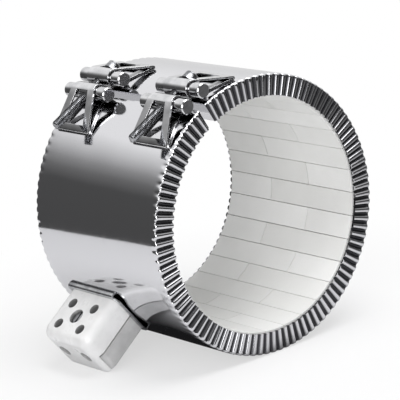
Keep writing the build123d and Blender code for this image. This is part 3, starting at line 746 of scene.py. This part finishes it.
studio = {"floorRadius": 0.63, "floorMiddle": (0.18, -0.25), "floorStep": 5, "floor": "#e9e9ea",
          "white": "#ffffff", "fadeSpan": (0.1, 0.26), "paled": 0.6,
          "shade": "#1a1a1b", "underShadowSpan": (0.088, 0.104), "sideSpan": (0.09, 0.3), "sideShade": 0.84,
          "wallRadius": 1.5, "wallStep": 3, "wallRows": 97, "openTowards": 49, "openFrom": 30, "openTo": 62,
          "wallHeights": [-0.8, 0.3, 0.46, 0.6, 0.78, 1.0, 2.4],
          "wallGlow": [0.075, 0.085, 0.17, 0.32, 0.65, 1.0, 1.0],
          "openGlow": [0.66, 0.8, 0.86, 0.92, 1.0, 1.0, 1.0],
          "frontFrom": 0.5, "frontTo": 0.9, "frontGlow": [0.05, 0.05, 0.06, 0.08, 0.1, 0.12, 0.2],
          "fill": 0.38, "keyPower": 10.0, "keySize": 0.9, "keyPlace": (0.12, -0.22, 1.05),
          "frontPower": 6.0, "frontSize": 0.7, "frontPlace": (-0.95, -0.75, 0.35)}


def stagePiece(name, points, faces, material):
    mesh = bpy.data.meshes.new(name)
    mesh.from_pydata(np.reshape(points, (-1, 3)).tolist(), [], np.asarray(faces).tolist())
    mesh.materials.append(material)
    obj = bpy.data.objects.new(name, mesh)
    bpy.context.scene.collection.objects.link(obj)
    return obj


def seenDirectly(tree):
    # one where the camera, a mirror or clear glass looks, nothing for light that spreads
    path = addNode(tree, "LightPath").outputs
    direct = combined(tree, path["Is Camera Ray"], path["Is Transmission Ray"], "MAXIMUM")
    return combined(tree, direct, path["Is Glossy Ray"], "MAXIMUM")


def makeFloor():
    # a round pale table under the part, which keeps the part's shadow and fades to plain white further out;
    # to mirrored rays only it is painted dark: a painted shadow under the ring and painted shade towards the side
    s = studio
    turn = np.radians(np.arange(0, 360, s["floorStep"]))
    middle, radius = s["floorMiddle"], s["floorRadius"]
    around = np.stack([middle[0] + radius * np.cos(turn), middle[1] + radius * np.sin(turn),
                       np.full(len(turn), cadLow.z)], -1)
    material, tree, shader, place = newMaterial("paleTable", Roughness=0.9, Specular_IOR_Level=0.1)
    shader.inputs["Base Color"].default_value = linear(s["floor"])
    away = addNode(tree, "VectorMath", {0: place}, operation="LENGTH").outputs["Value"]
    along = addNode(tree, "SeparateXYZ", {0: place}).outputs["X"]
    far = spread(tree, away, s["fadeSpan"], (s["paled"], 1.0), interpolation_type="SMOOTHSTEP")
    # painted shadow under the ring and painted shade towards the side, seen only in mirrored rays
    near = spread(tree, away, s["underShadowSpan"], (1.0, 0.0))
    side = spread(tree, along, s["sideSpan"], (0.0, s["sideShade"]), interpolation_type="SMOOTHSTEP")
    path = addNode(tree, "LightPath").outputs
    paled = combined(tree, far, path["Is Camera Ray"], "MULTIPLY")
    shaded = combined(tree, combined(tree, near, side, "MAXIMUM"), path["Is Glossy Ray"], "MULTIPLY")
    white = addNode(tree, "Emission", {"Color": linear(s["white"])}).outputs[0]
    dark = addNode(tree, "Emission", {"Color": linear(s["shade"])}).outputs[0]
    faded = addNode(tree, "MixShader", {0: paled, 1: shader.outputs[0], 2: white}).outputs[0]
    mixed = addNode(tree, "MixShader", {0: shaded, 1: faded, 2: dark}).outputs[0]
    tree.links.new(mixed, tree.nodes["Material Output"].inputs["Surface"])
    stagePiece("floor", around, [np.arange(len(turn))], material)


def makeReflectionCard():
    # a glowing card bent round the table, which paints reflections: dark low down and graded to white upwards,
    # pale at the back right; only metal mirrors it. Its glow runs along straight lines between the listed
    # heights, less in front and more at the opening
    s = studio
    turn = np.arange(0, 360, s["wallStep"])
    heights = np.linspace(s["wallHeights"][0], s["wallHeights"][-1], s["wallRows"])
    away = np.abs((turn - s["openTowards"] + 180) % 360 - 180)
    opened = 1 - smoothStep((away - s["openFrom"]) / (s["openTo"] - s["openFrom"]))
    front = smoothStep((-np.sin(np.radians(turn)) - s["frontFrom"]) / (s["frontTo"] - s["frontFrom"]))
    glow, pale, low = (np.interp(heights, s["wallHeights"], s[key])[None, :]
                       for key in ("wallGlow", "openGlow", "frontGlow"))
    glow = glow + (low - glow) * front[:, None]
    glow = glow + (pale - glow) * opened[:, None]
    x, y = (s["wallRadius"] * v(np.radians(turn))[:, None] for v in (np.cos, np.sin))
    grid = np.stack(np.broadcast_arrays(x, y, heights[None, :]), -1)
    material, tree, shader, place = newMaterial("paintedReflectionCard")
    level = addNode(tree, "Attribute", attribute_name="glow").outputs["Fac"]
    light = addNode(tree, "Emission", {"Color": linear(s["white"]), "Strength": level})
    tree.links.new(light.outputs[0], tree.nodes["Material Output"].inputs["Surface"])
    wall = stagePiece("wall", grid, gridFaces(*grid.shape[:2], True, False), material)
    layer = wall.data.attributes.new("glow", "FLOAT", "POINT")
    layer.data.foreach_set("value", glow.astype(np.float32).ravel())
    wall.visible_camera = wall.visible_diffuse = wall.visible_transmission = wall.visible_shadow = False


def makeWorld():
    # white behind everything that is seen directly or mirrored, and an even fill for matt surfaces
    s = studio
    world = bpy.data.worlds.new("studio")
    bpy.context.scene.world = world
    world.use_nodes = True
    tree = world.node_tree
    fill = addNode(tree, "Background", {"Color": linear(s["white"]), "Strength": s["fill"]})
    white = addNode(tree, "Background", {"Color": linear(s["white"]), "Strength": 1.0})
    shown = addNode(tree, "MixShader", {0: seenDirectly(tree), 1: fill.outputs[0], 2: white.outputs[0]})
    tree.links.new(shown.outputs[0], tree.nodes["World Output"].inputs["Surface"])


def softLight(name, power, size, place, target):
    lamp = bpy.data.lights.new(name, "AREA")
    lamp.energy, lamp.size, lamp.shape = power, size, "DISK"
    obj = bpy.data.objects.new(name, lamp)
    obj.location = place
    obj.rotation_euler = (Vector(target) - Vector(place)).to_track_quat("-Z", "Y").to_euler()
    bpy.context.scene.collection.objects.link(obj)


cameraLook = {"towards": (-0.597, -0.763, 0.25), "up": (0.132, 0.0, 0.991), "distance": 1.13, "lens": 188.0,
              "sensor": 36.0, "shift": 0.019}


def makeCamera():
    # looks at the middle of the part from the picture's side and height
    c = cameraLook
    middle = (cadLow + cadHigh) / 2
    back = Vector(c["towards"]).normalized()
    right = Vector(c["up"]).cross(back).normalized()
    up = back.cross(right)
    data = bpy.data.cameras.new("camera")
    data.lens, data.sensor_width, data.shift_x = c["lens"], c["sensor"], c["shift"]
    camera = bpy.data.objects.new("camera", data)
    camera.matrix_world = Matrix.Translation(middle + back * c["distance"]) @ Matrix(
        (right, up, back)).transposed().to_4x4()
    bpy.context.scene.collection.objects.link(camera)
    bpy.context.scene.camera = camera


makeFloor()
makeReflectionCard()
makeWorld()
softLight("keyLight", studio["keyPower"], studio["keySize"], studio["keyPlace"], (0, 0, 0))
softLight("frontLight", studio["frontPower"], studio["frontSize"], studio["frontPlace"], (0, 0, 0))
makeCamera()
bpy.context.scene.view_settings.view_transform = "Standard"
print("studio made")
